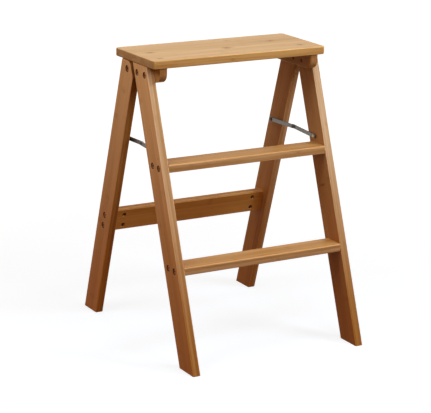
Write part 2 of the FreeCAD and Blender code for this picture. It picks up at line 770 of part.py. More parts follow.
def seat_screws():
    places = []
    for side in PAIR:
        across = f"{side} * (cleat_inner + cleat_thickness / 2)"
        for back in seat_screw_places():
            places.append((across, back, "cleat_bottom + seat_screw_recess", BACK, "-90 deg"))
    set_of_copies("seat_screws", wood_screw, places)


def link(name, side, face, back, height, length, turn):
    """A brace strip along Y from its screw's hole at the origin to its knee hole."""
    across = f"{side} * (leg_inner - {face} - link_thickness / 2)"
    body = keep(new_body(name, back, height, across, ACROSS, turn))
    sketch = new_sketch(body, "YZ_Plane")
    half = "link_width / 2"
    draw_box(sketch, "-link_overhang", f"{length} + {half}", f"-{half}", half)
    pad(body, sketch, "link_thickness", symmetric=True)
    round_edges(body, "link_corner_radius", lambda edge: along(edge, ACROSS))
    face = "link_thickness / 2"
    anchor = [("0", "0")]
    radius = "anchor_shoulder_radius + anchor_fit"
    drill(body, "YZ_Plane", face, anchor, radius, "link_thickness")
    knee = [(length, "0")]
    drill(body, "YZ_Plane", face, knee, "rivet_radius + anchor_fit", "link_thickness")


def brace(side_name, side):
    """Two strips, their screws and washers on the legs, and the two halves of the rivet."""
    turn = half_turn(side)
    front = ("front_anchor_back", "front_anchor_height")
    rear = ("rear_anchor_back", "rear_anchor_height")
    knee = (
        "front_anchor_back + front_link_length * cos(front_link_angle)",
        "front_anchor_height + front_link_length * sin(front_link_angle)",
    )
    link(
        f"brace_front_link_{side_name}", side, "link_washer", *front,
        "front_link_length", "front_link_angle",
    )
    link(
        f"brace_rear_link_{side_name}", side, "rear_link_face", *rear,
        "rear_link_length", "rear_link_angle",
    )
    front_face = f"{side} * leg_inner"
    rear_face = f"{side} * rear_leg_inner"
    split = f"{side} * (leg_inner - rivet_joint)"
    flip = half_turn(-side)
    pieces = (
        ("brace_front_screw", front_anchor, front_face, front, turn),
        ("brace_front_washer", front_washer, front_face, front, turn),
        ("brace_rear_screw", rear_anchor, rear_face, rear, turn),
        ("brace_rear_spacer", rear_spacer, rear_face, rear, turn),
        ("knee_rivet_outer", rivet_outer, split, knee, turn),
        ("knee_rivet_inner", rivet_inner, split, knee, flip),
    )
    for label, master, across, (back, height), spin in pieces:
        set_of_copies(f"{label}_{side_name}", master, [(across, back, height, UP, spin)])


def check():
    """Every object up to date, and every part one or more valid closed solids."""
    for item in doc.Objects:
        if "Invalid" in item.State or "Error" in item.State:
            raise RuntimeError(f"{item.Label} failed: {item.State}")
    for part in parts:
        shape = part.Shape
        if shape.isNull() or not shape.isValid() or not shape.Solids:
            raise RuntimeError(part.Label + " has no valid solid")


def write():
    os.makedirs("parts", exist_ok=True)
    for part in parts:
        part.Shape.exportStep(f"parts/{part.Label}.step")


fill_sheet()

slat_bolt = bolt("slat_bolt", "bolt_radius", "bolt_head_radius", "slat_bolt_length")
cleat_bolt = bolt("cleat_bolt", "bolt_radius", "bolt_head_radius", "cleat_bolt_length")
pivot_bolt = bolt("pivot_bolt", "pivot_radius", "pivot_head_radius", "pivot_bolt_length")
cleat_sleeve = sleeve("cleat_sleeve")
pivot_nut = nut("pivot_nut")
barrel_nut = cross_nut("barrel_nut")
wood_screw = seat_screw("seat_screw")
front_anchor = anchor_screw("front_anchor", "rear_link_face")
rear_anchor = anchor_screw("rear_anchor", "side_clearance + rear_link_face + link_thickness + link_gap")
front_washer = washer("front_washer", "link_washer")
rear_spacer = washer("rear_spacer", "side_clearance + rear_link_face")
rivet_outer = rivet_half("rivet_outer", "link_thickness + link_gap / 2")
rivet_inner = rivet_half("rivet_inner", "link_thickness + link_gap / 2")

seat_board()
for side_name, side in SIDES.items():
    cleat(f"cleat_{side_name}", side)
    front_leg(f"front_leg_{side_name}", side)
    rear_leg(f"rear_leg_{side_name}", side)
treads()
stretcher()
for side_name, side in SIDES.items():
    frame_fasteners(side_name, side)
    brace(side_name, side)
barrel_nuts()
seat_screws()
doc.recompute()
check()
write()

for alias, formula in DERIVED:
    print(alias, round(size(alias), 4))
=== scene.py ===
import bpy
from math import cos, radians
from mathutils import Matrix, Vector


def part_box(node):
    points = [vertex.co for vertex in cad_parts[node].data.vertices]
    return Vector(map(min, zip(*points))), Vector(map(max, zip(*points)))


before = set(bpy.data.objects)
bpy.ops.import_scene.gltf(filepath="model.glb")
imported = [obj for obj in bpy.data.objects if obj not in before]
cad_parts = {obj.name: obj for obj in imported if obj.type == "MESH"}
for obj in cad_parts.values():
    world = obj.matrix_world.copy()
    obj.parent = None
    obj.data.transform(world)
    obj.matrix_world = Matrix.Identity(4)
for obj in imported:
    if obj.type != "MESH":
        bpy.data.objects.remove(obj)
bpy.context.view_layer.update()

# Looks of the folding step stool: lacquered bamboo board, steel fasteners and braces.
# Metres, in the frame of the solids. Grain runs along every board.

FLOAT = "NodeSocketFloat"
COLOUR = "NodeSocketColor"
VECTOR = "NodeSocketVector"

UPRIGHT = radians(90)
ORIGIN = (0.0, 0.0, 0.0)
WHITE = (1.0, 1.0, 1.0, 1.0)
BLACK = (0.0, 0.0, 0.0, 1.0)

# The photograph's viewpoint, round the stool's middle at half its height.
MIDDLE = Vector((0, 0, 0.32))
AZIMUTH = radians(-30.1)
ELEVATION = radians(15.7)
ROLL = radians(1.08)
CAMERA_PLACE = Vector((-0.0152, -0.0386, 3.9391))
LENS = 147.2
SENSOR = 36.0
FAR_CLIP = 60.0

# Boards: how far the legs lean, and the width of the strips that each board is glued from.
FRONT_LEAN = radians(19.846)
REAR_LEAN = radians(-16.879)
LEG_WIDTH = 0.058
LEG_STRIP = LEG_WIDTH / 3
SLAT_STRIP = 0.052 / 3
SEAT_STRIP = 0.02
CLEAT_STRIP = 0.033 / 2
BOARD_LAYER = 0.006
JOINT_SPACING = 0.27

# Turns that bring a board's length to X, its width to Y and its thickness to Z.
LEVEL = (0.0, 0.0, 0.0)
ON_EDGE = (-UPRIGHT, -UPRIGHT, 0.0)
ALONG_FRONT_LEG = (FRONT_LEAN, UPRIGHT, 0.0)
ALONG_REAR_LEG = (REAR_LEAN, UPRIGHT, 0.0)
IN_LINE_WITH_REAR_LEGS = (UPRIGHT + REAR_LEAN, 0.0, 0.0)

# Colours as linear red, green and blue. Each board has the colour of its broad faces, of its
# narrow edges and of its end grain; a leg's colours deepen from its top to its foot. Besides the
# wood's own tone these colours hold painted light and shade: each face's colour is set for how lit
# it is, the right legs' faces are darker for the shade they stand in, and the deepening towards the
# foot is painted shade for the light falling off towards the floor.
SEAT_WOOD = {
    "Face": (0.61, 0.435, 0.22, 1.0),
    "Edge": (0.72, 0.445, 0.155, 1.0),
    "End": (0.46, 0.275, 0.12, 1.0),
}
FRONT_LEFT_WOOD = {
    "Face": (0.75, 0.435, 0.185, 1.0),
    "Low Face": (0.59, 0.24, 0.045, 1.0),
    "Edge": (0.88, 0.65, 0.39, 1.0),
    "Low Edge": (0.63, 0.33, 0.095, 1.0),
}
# Darker faces than the left front leg's: painted shade for its inner faces.
FRONT_RIGHT_WOOD = {
    "Face": (0.57, 0.33, 0.14, 1.0),
    "Low Face": (0.43, 0.16, 0.034, 1.0),
    "Edge": (0.86, 0.66, 0.41, 1.0),
    "Low Edge": (0.56, 0.28, 0.07, 1.0),
}
REAR_LEFT_WOOD = {
    "Face": (0.68, 0.385, 0.16, 1.0),
    "Low Face": (0.58, 0.23, 0.042, 1.0),
    "Edge": (0.54, 0.26, 0.075, 1.0),
    "Low Edge": (0.54, 0.2, 0.038, 1.0),
}
# Darker faces than the left rear leg's: painted shade for its inner faces.
REAR_RIGHT_WOOD = {
    "Face": (0.62, 0.365, 0.16, 1.0),
    "Low Face": (0.47, 0.185, 0.036, 1.0),
    "Edge": (0.77, 0.49, 0.25, 1.0),
    "Low Edge": (0.6, 0.275, 0.085, 1.0),
}
TREAD_WOOD = {
    "Face": (0.57, 0.335, 0.12, 1.0),
    "Edge": (0.76, 0.5, 0.24, 1.0),
}
CLEAT_WOOD = {
    "Face": (0.54, 0.29, 0.1, 1.0),
    "Edge": (0.66, 0.4, 0.15, 1.0),
}
STRETCHER_WOOD = {
    "Face": (0.64, 0.31, 0.08, 1.0),
    "Edge": (0.7, 0.42, 0.16, 1.0),
}
END_GRAIN = (0.42, 0.22, 0.08, 1.0)
# Above this height a leg's colours stay the same; below it the painted shade deepens to the foot.
TOP_HEIGHT = 0.53

# The lacquer, and how the grain stands out under it.
VARNISH = (1.0, 0.75, 0.45, 1.0)
VARNISH_SHINE = 0.05
GRAIN_RELIEF = 0.6
GRAIN_DEPTH = 0.0002

# How fast the cane's patterns change along, across and through a board, per metre.
WANDER_SCALE = (9.0, 25.0, 25.0)
STREAK_SCALE = (5.0, 260.0, 260.0)
DRIFT_SCALE = (4.0, 35.0, 60.0)
FIBRE_SCALE = (22.0, 1500.0, 1500.0)
RIPPLE_SCALE = (0.0, 60.0, 60.0)
# Each strip is cut from another place in the pattern, up to this far away.
CANE_SHIFT = (3.1, 0.7, 0.9)

# A glue line between layers wanders by this share of a layer, to both sides of its place.
LAYER_WANDER = 0.8
LAYER_OFFSET = -0.4

# A strip's tone: its own, its streaks' and its slow drift's share; then its two ends.
STRIP_SHARE = 0.45
STREAK_SHARE = 0.3
DRIFT_SHARE = 0.25
NOISE_RANGE = (0.3, 0.7)
DARKER = (0.82, 0.74, 0.6, 1.0)
PALER = (1.15, 1.22, 1.34, 1.0)
NARROW_FACE_CONTRAST = 2.4

# A cane joint is a thin dark line across its strip, with a soft band round it.
JOINT_LINE = (0.0004, 0.0024)
JOINT_BAND = (0.001, 0.01)
JOINT_RIPPLE = 0.005
# Some joints are stronger than others: the range of chance that makes them so, then what a
# strong joint adds to its line and band and what every joint has.
STRONG_JOINTS = (0.45, 0.95)
LINE_STRENGTH = (0.22, 0.06)
BAND_STRENGTH = (0.14, 0.05)
JOINT_COLOUR = (0.24, 0.105, 0.03, 1.0)

# Glue lines between strips and between layers, as distances from a strip's or layer's middle.
STRIP_GLUE = (0.488, 0.499)
STRIP_GLUE_STRENGTH = 0.28
LAYER_GLUE = (0.46, 0.495)
LAYER_GLUE_STRENGTH = 0.3
GLUE_COLOUR = (0.22, 0.1, 0.03, 1.0)

FIBRE_RANGE = (0.62, 0.8)
FIBRE_STRENGTH = 0.35
FIBRE_COLOUR = (0.26, 0.12, 0.035, 1.0)

# What the fibres add to the lacquer's roughness, its least roughness, and what joints add.
FIBRE_ROUGHNESS = (0.14, 0.36)
JOINT_ROUGHNESS = 0.15

# Fibres and glue lines lie a little low, joints and streaks stand a little high.
FIBRE_HEIGHT = -0.35
GLUE_HEIGHT = -1.2
JOINT_HEIGHT = 0.9
STREAK_HEIGHT = 0.5

# A surface faces along an axis where its normal's share of that axis is past this range, and
# is a round where its shares across and through the board multiply to this one.
FACING = (0.55, 0.8)
ROUND = (0.45, 0.5)
END_ROUGHNESS = 0.2

# Edges are brighter, in patches: partly wear, partly a painted highlight; the rounds between broad
# and narrow faces get a painted highlight too. The brightening starts where the bevelled normal
# leaves the true one by this much, as the cosine between them.
WEAR_AND_HIGHLIGHT_TURN = (0.998, 0.9)
WEAR_AND_HIGHLIGHT_SAMPLES = 4
PATCH_SCALE = 90.0
PATCH_RANGE = (0.35, 0.65)
LEAST_WEAR_AND_HIGHLIGHT = 0.35
WEAR_AND_HIGHLIGHT_RADIUS = 0.003
WEAR_AND_HIGHLIGHT_AMOUNT = 0.4
ROUND_HIGHLIGHT_AMOUNT = 0.7
WORN_AND_HIGHLIT = (1.35, 1.5, 1.75, 1.0)

# Painted shade darkens the walls of the bolts' recesses, out to this distance from the bolt's axis.
RECESS_SHADE_RANGE = (0.009, 0.011)
RECESS_SHADE_STRENGTH = 0.85
RECESS_SHADE_COLOUR = (0.16, 0.055, 0.01, 1.0)

# Marks of side shoots, and painted shade in crevices: a soft halo and a core, both with a blurred
# rim.
MARK_HALO = (0.4, 1.35)
MARK_CORE = (0.35, 0.8)
MARK_STRENGTH = 0.4
RIM_SCALE = 260.0
RIM_BLUR = 0.7
MARK_COLOUR = (0.22, 0.085, 0.022, 1.0)
# Where each mark lies, and how far it reaches along, across and through its board.
SEAT_TOP = 0.64
SEAT_MARKS = (
    ((-0.176, 0.018, SEAT_TOP), (0.02, 0.013, 0.02)),
    ((-0.187, -0.048, SEAT_TOP), (0.014, 0.01, 0.02)),
    ((0.006, 0.0, SEAT_TOP), (0.023, 0.013, 0.02)),
    ((0.136, 0.033, SEAT_TOP), (0.018, 0.012, 0.02)),
    ((0.172, -0.035, SEAT_TOP), (0.016, 0.013, 0.02)),
)
LEG_MARKS = {
    "front_leg_left": (((-0.215, -0.0955, 0.435), (0.004, 0.003, 0.01)),),
    "rear_leg_left": (((-0.215, 0.1455, 0.2785), (0.004, 0.003, 0.01)),),
    "front_leg_right": (((0.197, -0.107, 0.333), (0.006, 0.02, 0.01)),),
}
# Painted shade on the narrow faces where a rear leg's top turns past the front leg, darkest in the
# gap.
CREVICE_SHADE = (0.12, 0.06, 0.1)
GAP_SHADE = (0.07, 0.045, 0.1)
CREVICE_SHADES = {
    "rear_leg_left": (((-0.206, 0.034, 0.58), CREVICE_SHADE), ((-0.206, 0.024, 0.607), GAP_SHADE)),
    "rear_leg_right": (((0.206, 0.034, 0.58), CREVICE_SHADE), ((0.206, 0.024, 0.607), GAP_SHADE)),
}

# Every board has a number of its own for its strips.
SEAT_SEED = 3.0
FIRST_SEED = 10.0
SEED_STEP = 7.0
# Corners of one bolt lie closer together than this, and those of two bolts farther apart.
BOLT_REACH = 0.0135

# Steel: shades of its colour, edges brightened for wear and as a painted highlight, and the
# pattern of the lines left by drawing.
DRAWN_SCALE = (900.0, 60.0, 900.0)
PLATING_CLOUDS = 400.0
STRIP_CLOUDS = 250.0
CLOUD_RANGE = (0.35, 0.7)
DULL_SHADE = 0.72
WORN_AND_HIGHLIT_SHADE = 1.5
DULL_ROUGHNESS = 0.12
DRAWN_ROUGHNESS = 0.08
STEEL_WEAR_AND_HIGHLIGHT_RADIUS = 0.0006
STEEL_WEAR_AND_HIGHLIGHT_AMOUNT = 0.6
STEEL_RELIEF = 0.3
STEEL_DEPTH = 0.0001

# The studio: a dim warm surround, and a floor that shows white and keeps the shadow.
AMBIENT = (1.0, 0.43, 0.17, 1.0)
AMBIENT_LEVEL = 0.3
FLOOR_SIZE = 40.0
FLOOR_TONE = (0.18, 0.12, 0.07, 1.0)
FLOOR_SEEN = (0.31, 0.42, 0.52, 1.0)
FLOOR_ROUGHNESS = 0.9
FLOOR_GLOW = 0.78
GLOW_NEAR = 0.4
GLOW_FAR = 2.2
STOOL_TOP = (0.0, 0.0, 0.5)


def link(tree, source, target):
    """Joins an output to an input, or sets the input where the source is a plain value."""
    if isinstance(source, bpy.types.NodeSocket):
        tree.links.new(source, target)
    else:
        target.default_value = source


def calc(tree, operation, *values, clamp=False):
    node = tree.nodes.new("ShaderNodeMath")
    node.operation = operation
    node.use_clamp = clamp
    for socket, value in zip(node.inputs, values):
        link(tree, value, socket)
    return node.outputs[0]


def vector_calc(tree, operation, *vectors):
    node = tree.nodes.new("ShaderNodeVectorMath")
    node.operation = operation
    for socket, vector in zip(node.inputs, vectors):
        link(tree, vector, socket)
    is_number = operation in ("LENGTH", "DOT_PRODUCT")
    return node.outputs["Value" if is_number else "Vector"]


def split(tree, vector):
    """A vector's three parts."""
    node = tree.nodes.new("ShaderNodeSeparateXYZ")
    link(tree, vector, node.inputs[0])
    return node.outputs


def remap(tree, value, low, high, to_low=0.0, to_high=1.0):
    """Smooth step of a value between two limits."""
    node = tree.nodes.new("ShaderNodeMapRange")
    node.interpolation_type = "SMOOTHSTEP"
    for name, source in (
        ("Value", value),
        ("From Min", low),
        ("From Max", high),
        ("To Min", to_low),
        ("To Max", to_high),
    ):
        link(tree, source, node.inputs[name])
    return node.outputs["Result"]


def mix_colour(tree, share, first, second, how="MIX"):
    node = tree.nodes.new("ShaderNodeMix")
    node.data_type = "RGBA"
    node.blend_type = how
    link(tree, share, node.inputs["Factor"])
    link(tree, first, node.inputs[6])
    link(tree, second, node.inputs[7])
    return node.outputs[2]


def noise(tree, vector, scale, detail=2.0, roughness=0.5):
    node = tree.nodes.new("ShaderNodeTexNoise")
    link(tree, vector, node.inputs["Vector"])
    node.inputs["Scale"].default_value = scale
    node.inputs["Detail"].default_value = detail
    node.inputs["Roughness"].default_value = roughness
    return node.outputs["Fac"]


def long_noise(tree, vector, scales, detail=2.0, roughness=0.5):
    """Noise with a scale of its own along each axis."""
    scaled = vector_calc(tree, "MULTIPLY", vector, scales)
    return noise(tree, scaled, 1.0, detail, roughness)


def bump(tree, shader, height, strength, distance):
    node = tree.nodes.new("ShaderNodeBump")
    node.inputs["Strength"].default_value = strength
    node.inputs["Distance"].default_value = distance
    link(tree, height, node.inputs["Height"])
    link(tree, node.outputs[0], shader.inputs["Normal"])


def new_group(name, inputs, outputs):
    """A node group with named sockets; returns it with its input and output nodes."""
    group = bpy.data.node_groups.new(name, "ShaderNodeTree")
    for label, kind, value in inputs:
        socket = group.interface.new_socket(label, in_out="INPUT", socket_type=kind)
        if value is not None:
            socket.default_value = value
    for label, kind in outputs:
        group.interface.new_socket(label, in_out="OUTPUT", socket_type=kind)
    return group, group.nodes.new("NodeGroupInput"), group.nodes.new("NodeGroupOutput")


def use_group(tree, group, **values):
    node = tree.nodes.new("ShaderNodeGroup")
    node.node_tree = group
    for name, value in values.items():
        link(tree, value, node.inputs[name.replace("_", " ")])
    return node


def chances(group, strip_place, layer_place, seed):
    """Three random numbers of its own for each strip of each layer."""
    cell = group.nodes.new("ShaderNodeCombineXYZ")
    link(group, calc(group, "FLOOR", strip_place), cell.inputs[0])
    link(group, calc(group, "FLOOR", layer_place), cell.inputs[1])
    link(group, seed, cell.inputs[2])
    chance = group.nodes.new("ShaderNodeTexWhiteNoise")
    chance.noise_dimensions = "3D"
    link(group, cell.outputs[0], chance.inputs["Vector"])
    return chance.outputs["Color"]


def off_middle(group, place):
    """How far a place is from the middle of its strip, layer or span, from 0 to a half."""
    return calc(group, "ABSOLUTE", calc(group, "SUBTRACT", calc(group, "FRACT", place), 0.5))


def strip_tone(group, own, streaks, drift, contrast):
    """How pale the cane is, from 0 to 1."""
    tone = calc(group, "MULTIPLY", own, STRIP_SHARE)
    tone = calc(group, "MULTIPLY_ADD", remap(group, streaks, *NOISE_RANGE), STREAK_SHARE, tone)
    tone = calc(group, "MULTIPLY_ADD", remap(group, drift, *NOISE_RANGE), DRIFT_SHARE, tone)
    tone = calc(group, "SUBTRACT", tone, 0.5)
    return calc(group, "MULTIPLY_ADD", tone, contrast, 0.5, clamp=True)


def cane_joints(group, along, spacing, own, cane):
    """Strength of the cane's joints, each strip's at a place of its own."""
    ripple = long_noise(group, cane, RIPPLE_SCALE, detail=1.0)
    turn = calc(group, "DIVIDE", along, spacing)
    turn = calc(group, "ADD", turn, own[1])
    turn = calc(group, "MULTIPLY_ADD", ripple, JOINT_RIPPLE, turn)
    off = calc(group, "MULTIPLY", off_middle(group, turn), spacing)
    strong = remap(group, own[2], *STRONG_JOINTS)
    line = remap(group, off, *JOINT_LINE, 1.0, 0.0)
    band = remap(group, off, *JOINT_BAND, 1.0, 0.0)
    line = calc(group, "MULTIPLY", line, calc(group, "MULTIPLY_ADD", strong, *LINE_STRENGTH))
    band = calc(group, "MULTIPLY", band, calc(group, "MULTIPLY_ADD", strong, *BAND_STRENGTH))
    return calc(group, "MAXIMUM", line, band)


def glue_lines(group, strip_place, layer_place):
    """Strength of the glue lines between strips and between layers."""
    seam = remap(group, off_middle(group, strip_place), *STRIP_GLUE)
    ply = remap(group, off_middle(group, layer_place), *LAYER_GLUE)
    seam = calc(group, "MULTIPLY", seam, STRIP_GLUE_STRENGTH)
    ply = calc(group, "MULTIPLY", ply, LAYER_GLUE_STRENGTH)
    return calc(group, "MAXIMUM", seam, ply)


def grain_colour(group, wood, tone, joint, glue, fleck):
    dark = mix_colour(group, 1.0, wood, DARKER, "MULTIPLY")
    pale = mix_colour(group, 1.0, wood, PALER, "MULTIPLY")
    colour = mix_colour(group, tone, dark, pale)
    colour = mix_colour(group, joint, colour, JOINT_COLOUR)
    colour = mix_colour(group, glue, colour, GLUE_COLOUR)
    fleck = calc(group, "MULTIPLY", fleck, FIBRE_STRENGTH)
    return mix_colour(group, fleck, colour, FIBRE_COLOUR)


def grain_height(group, streaks, joint, glue, fleck):
    height = calc(group, "MULTIPLY", fleck, FIBRE_HEIGHT)
    height = calc(group, "MULTIPLY_ADD", glue, GLUE_HEIGHT, height)
    height = calc(group, "MULTIPLY_ADD", joint, JOINT_HEIGHT, height)
    return calc(group, "MULTIPLY_ADD", streaks, STREAK_HEIGHT, height)


def bamboo_grain():
    """Bamboo board: glued strips side by side in layers, each with its tone, fibres and joints."""
    group, given, made = new_group(
        "bamboo_grain",
        (
            ("Vector", VECTOR, None),
            ("Strip Width", FLOAT, SEAT_STRIP),
            ("Layer", FLOAT, BOARD_LAYER),
            ("Joint Spacing", FLOAT, JOINT_SPACING),
            ("Seed", FLOAT, 0.0),
            ("Color", COLOUR, SEAT_WOOD["Face"]),
            ("Contrast", FLOAT, 1.0),
        ),
        (("Color", COLOUR), ("Roughness", FLOAT), ("Height", FLOAT)),
    )
    vector = given.outputs["Vector"]
    along, across, deep = split(group, vector)
    strip_place = calc(group, "DIVIDE", across, given.outputs["Strip Width"])
    strip_place = calc(group, "ADD", strip_place, 0.5)
    wander = long_noise(group, vector, WANDER_SCALE, detail=1.0)
    layer_place = calc(group, "DIVIDE", deep, given.outputs["Layer"])
    layer_place = calc(group, "MULTIPLY_ADD", wander, LAYER_WANDER, layer_place)
    layer_place = calc(group, "ADD", layer_place, LAYER_OFFSET)
    chance = chances(group, strip_place, layer_place, given.outputs["Seed"])
    own = group.nodes.new("ShaderNodeSeparateColor")
    link(group, chance, own.inputs[0])

    # Each strip's own piece of cane, and what is seen of it.
    cane = vector_calc(group, "MULTIPLY_ADD", chance, CANE_SHIFT, vector)
    streaks = long_noise(group, cane, STREAK_SCALE, detail=3.0, roughness=0.55)
    drift = long_noise(group, cane, DRIFT_SCALE)
    fibres = long_noise(group, cane, FIBRE_SCALE, roughness=0.6)
    fleck = remap(group, fibres, *FIBRE_RANGE)
    tone = strip_tone(group, own.outputs[0], streaks, drift, given.outputs["Contrast"])
    joint = cane_joints(group, along, given.outputs["Joint Spacing"], own.outputs, cane)
    glue = glue_lines(group, strip_place, layer_place)

    colour = grain_colour(group, given.outputs["Color"], tone, joint, glue, fleck)
    rough = calc(group, "MULTIPLY_ADD", fibres, *FIBRE_ROUGHNESS)
    rough = calc(group, "MULTIPLY_ADD", joint, JOINT_ROUGHNESS, rough)
    height = grain_height(group, streaks, joint, glue, fleck)
    link(group, colour, made.inputs["Color"])
    link(group, rough, made.inputs["Roughness"])
    link(group, height, made.inputs["Height"])
    return group


def edge_wear_and_highlight():
    """Lacquer rubbed by hands and feet, and a painted highlight: 1 on a board's rounded edges."""
    group, given, made = new_group(
        "edge_wear_and_highlight",
        (("Vector", VECTOR, None), ("Radius", FLOAT, 0.004), ("Amount", FLOAT, 1.0)),
        (("Mask", FLOAT),),
    )
    soft = group.nodes.new("ShaderNodeBevel")
    soft.samples = WEAR_AND_HIGHLIGHT_SAMPLES
    link(group, given.outputs["Radius"], soft.inputs["Radius"])
    shape = group.nodes.new("ShaderNodeNewGeometry")
    same = vector_calc(group, "DOT_PRODUCT", soft.outputs[0], shape.outputs["True Normal"])
    edge = remap(group, same, *WEAR_AND_HIGHLIGHT_TURN)
    patchy = noise(group, given.outputs["Vector"], PATCH_SCALE, detail=3.0)
    patchy = remap(group, patchy, *PATCH_RANGE, LEAST_WEAR_AND_HIGHLIGHT, 1.0)
    mask = calc(group, "MULTIPLY", calc(group, "MULTIPLY", edge, patchy), given.outputs["Amount"])
    link(group, mask, made.inputs["Mask"])
    return group


def cane_mark_and_shade():
    """One dark mark, strongest in its middle, drawn out along the grain: a side shoot's or painted
    shade's.
    """
    group, given, made = new_group(
        "cane_mark_and_shade",
        (("Vector", VECTOR, None), ("Centre", VECTOR, None), ("Reach", VECTOR, None)),
        (("Mask", FLOAT),),
    )
    vector = given.outputs["Vector"]
    away = vector_calc(group, "SUBTRACT", vector, given.outputs["Centre"])
    away = vector_calc(group, "DIVIDE", away, given.outputs["Reach"])
    blur = noise(group, vector, RIM_SCALE)
    reach = calc(group, "MULTIPLY_ADD", blur, RIM_BLUR, vector_calc(group, "LENGTH", away))
    halo = remap(group, reach, *MARK_HALO, MARK_STRENGTH, 0.0)
    core = remap(group, reach, *MARK_CORE, MARK_STRENGTH, 0.0)
    link(group, calc(group, "ADD", halo, core), made.inputs["Mask"])
    return group


def board_faces():
    """A board's colour by the way its surface faces and by its height on the stool, with painted
    light and shade.

    Edge and End are 1 on the narrow faces and the end grain, Narrow on whatever isn't a broad
    face, and Round on the rounds between broad and narrow faces.
    """
    group, given, made = new_group(
        "board_faces",
        (
            ("Normal", VECTOR, None),
            ("Height", FLOAT, TOP_HEIGHT),
            ("Face", COLOUR, SEAT_WOOD["Face"]),
            ("Low Face", COLOUR, SEAT_WOOD["Face"]),
            ("Edge", COLOUR, SEAT_WOOD["Edge"]),
            ("Low Edge", COLOUR, SEAT_WOOD["Edge"]),
            ("End", COLOUR, END_GRAIN),
        ),
        (
            ("Color", COLOUR),
            ("Edge", FLOAT),
            ("End", FLOAT),
            ("Round", FLOAT),
            ("Narrow", FLOAT),
        ),
    )
    facing = split(group, given.outputs["Normal"])
    along, across, deep = [calc(group, "ABSOLUTE", share) for share in facing]
    end = remap(group, along, *FACING)
    edge = remap(group, across, *FACING)
    high = remap(group, given.outputs["Height"], 0.0, TOP_HEIGHT)
    face_colour = mix_colour(group, high, given.outputs["Low Face"], given.outputs["Face"])
    edge_colour = mix_colour(group, high, given.outputs["Low Edge"], given.outputs["Edge"])
    colour = mix_colour(group, edge, face_colour, edge_colour)
    colour = mix_colour(group, end, colour, given.outputs["End"])
    between = calc(group, "MULTIPLY", across, deep)
    link(group, colour, made.inputs["Color"])
    link(group, edge, made.inputs["Edge"])
    link(group, end, made.inputs["End"])
    link(group, remap(group, between, *ROUND), made.inputs["Round"])
    link(group, remap(group, deep, *FACING, 1.0, 0.0), made.inputs["Narrow"])
    return group


def recess_painted_shade():
    """Painted shade on the wall of a bolt head's recess: what doesn't face out, close to the bolt's
    axis.
    """
    group, given, made = new_group(
        "recess_painted_shade",
        (("Vector", VECTOR, None), ("Bolt", VECTOR, None), ("Narrow", FLOAT, 0.0)),
        (("Mask", FLOAT),),
    )
    away = vector_calc(group, "SUBTRACT", given.outputs["Vector"], given.outputs["Bolt"])
    away = vector_calc(group, "MULTIPLY", away, (1.0, 1.0, 0.0))
    distance = vector_calc(group, "LENGTH", away)
    near = remap(group, distance, *RECESS_SHADE_RANGE, RECESS_SHADE_STRENGTH, 0.0)
    link(group, calc(group, "MULTIPLY", near, given.outputs["Narrow"]), made.inputs["Mask"])
    return group


GRAIN = bamboo_grain()
WEAR_AND_HIGHLIGHT = edge_wear_and_highlight()
MARK = cane_mark_and_shade()
FACES = board_faces()
RECESS_SHADE = recess_painted_shade()


def new_material(name):
    material = bpy.data.materials.new(name)
    material.use_nodes = True
    return material, material.node_tree, material.node_tree.nodes["Principled BSDF"]


def turned_to_board(tree, source, kind, turn):
    """A node that turns a vector into the board's own axes."""
    node = tree.nodes.new("ShaderNodeMapping")
    node.vector_type = kind
    link(tree, source, node.inputs["Vector"])
    node.inputs["Rotation"].default_value = turn
    return node


def in_board_axes(spot, centre, turn):
    """A spot of the stool in a board's own axes, from the board's centre."""
    turned = Matrix.Rotation(turn[1], 3, "Y") @ Matrix.Rotation(turn[0], 3, "X")
    turned = Matrix.Rotation(turn[2], 3, "Z") @ turned
    return turned @ (Vector(spot) - Vector(centre))


def coloured_faces(tree, place, normal, wood):
    """A board's colours, the same from top to foot where the wood has no low ones; low ones are
    painted shade.
    """
    low = {"Low " + side: wood[side] for side in ("Face", "Edge")}
    shades = {"End": END_GRAIN} | low | wood
    shades = {label.replace(" ", "_"): colour for label, colour in shades.items()}
    height = split(tree, place)["Z"]
    return use_group(tree, FACES, Normal=normal, Height=height, **shades)


def marked(tree, colour, vector, marks, share):
    """The colour, darkened round each mark."""
    for spot, reach in marks:
        mark = use_group(tree, MARK, Vector=vector, Centre=spot, Reach=reach)
        mark = calc(tree, "MULTIPLY", mark.outputs["Mask"], share)
        colour = mix_colour(tree, mark, colour, MARK_COLOUR)
    return colour


def worn_and_highlit(tree, colour, faces, place):
    """The colour, brightened on the board's edges for wear and as a painted highlight, and on its
    rounds as a painted highlight.
    """
    wear_and_highlight = use_group(tree, WEAR_AND_HIGHLIGHT, Vector=place, Radius=WEAR_AND_HIGHLIGHT_RADIUS, Amount=WEAR_AND_HIGHLIGHT_AMOUNT)
    # The rounds between broad and narrow faces get a painted highlight.
    round_highlight = calc(tree, "MULTIPLY", faces.outputs["Round"], ROUND_HIGHLIGHT_AMOUNT)
    wear_and_highlight = calc(tree, "MAXIMUM", wear_and_highlight.outputs["Mask"], round_highlight)
    bright = mix_colour(tree, 1.0, faces.outputs["Color"], WORN_AND_HIGHLIT, "MULTIPLY")
    return mix_colour(tree, wear_and_highlight, colour, bright)


def shaded_recesses(tree, colour, vector, bolts, narrow):
    """The colour, with painted shade on the walls of the recesses round the bolts."""
    for spot in bolts:
        painted_shade = use_group(tree, RECESS_SHADE, Vector=vector, Bolt=spot, Narrow=narrow)
        colour = mix_colour(tree, painted_shade.outputs["Mask"], colour, RECESS_SHADE_COLOUR)
    return colour


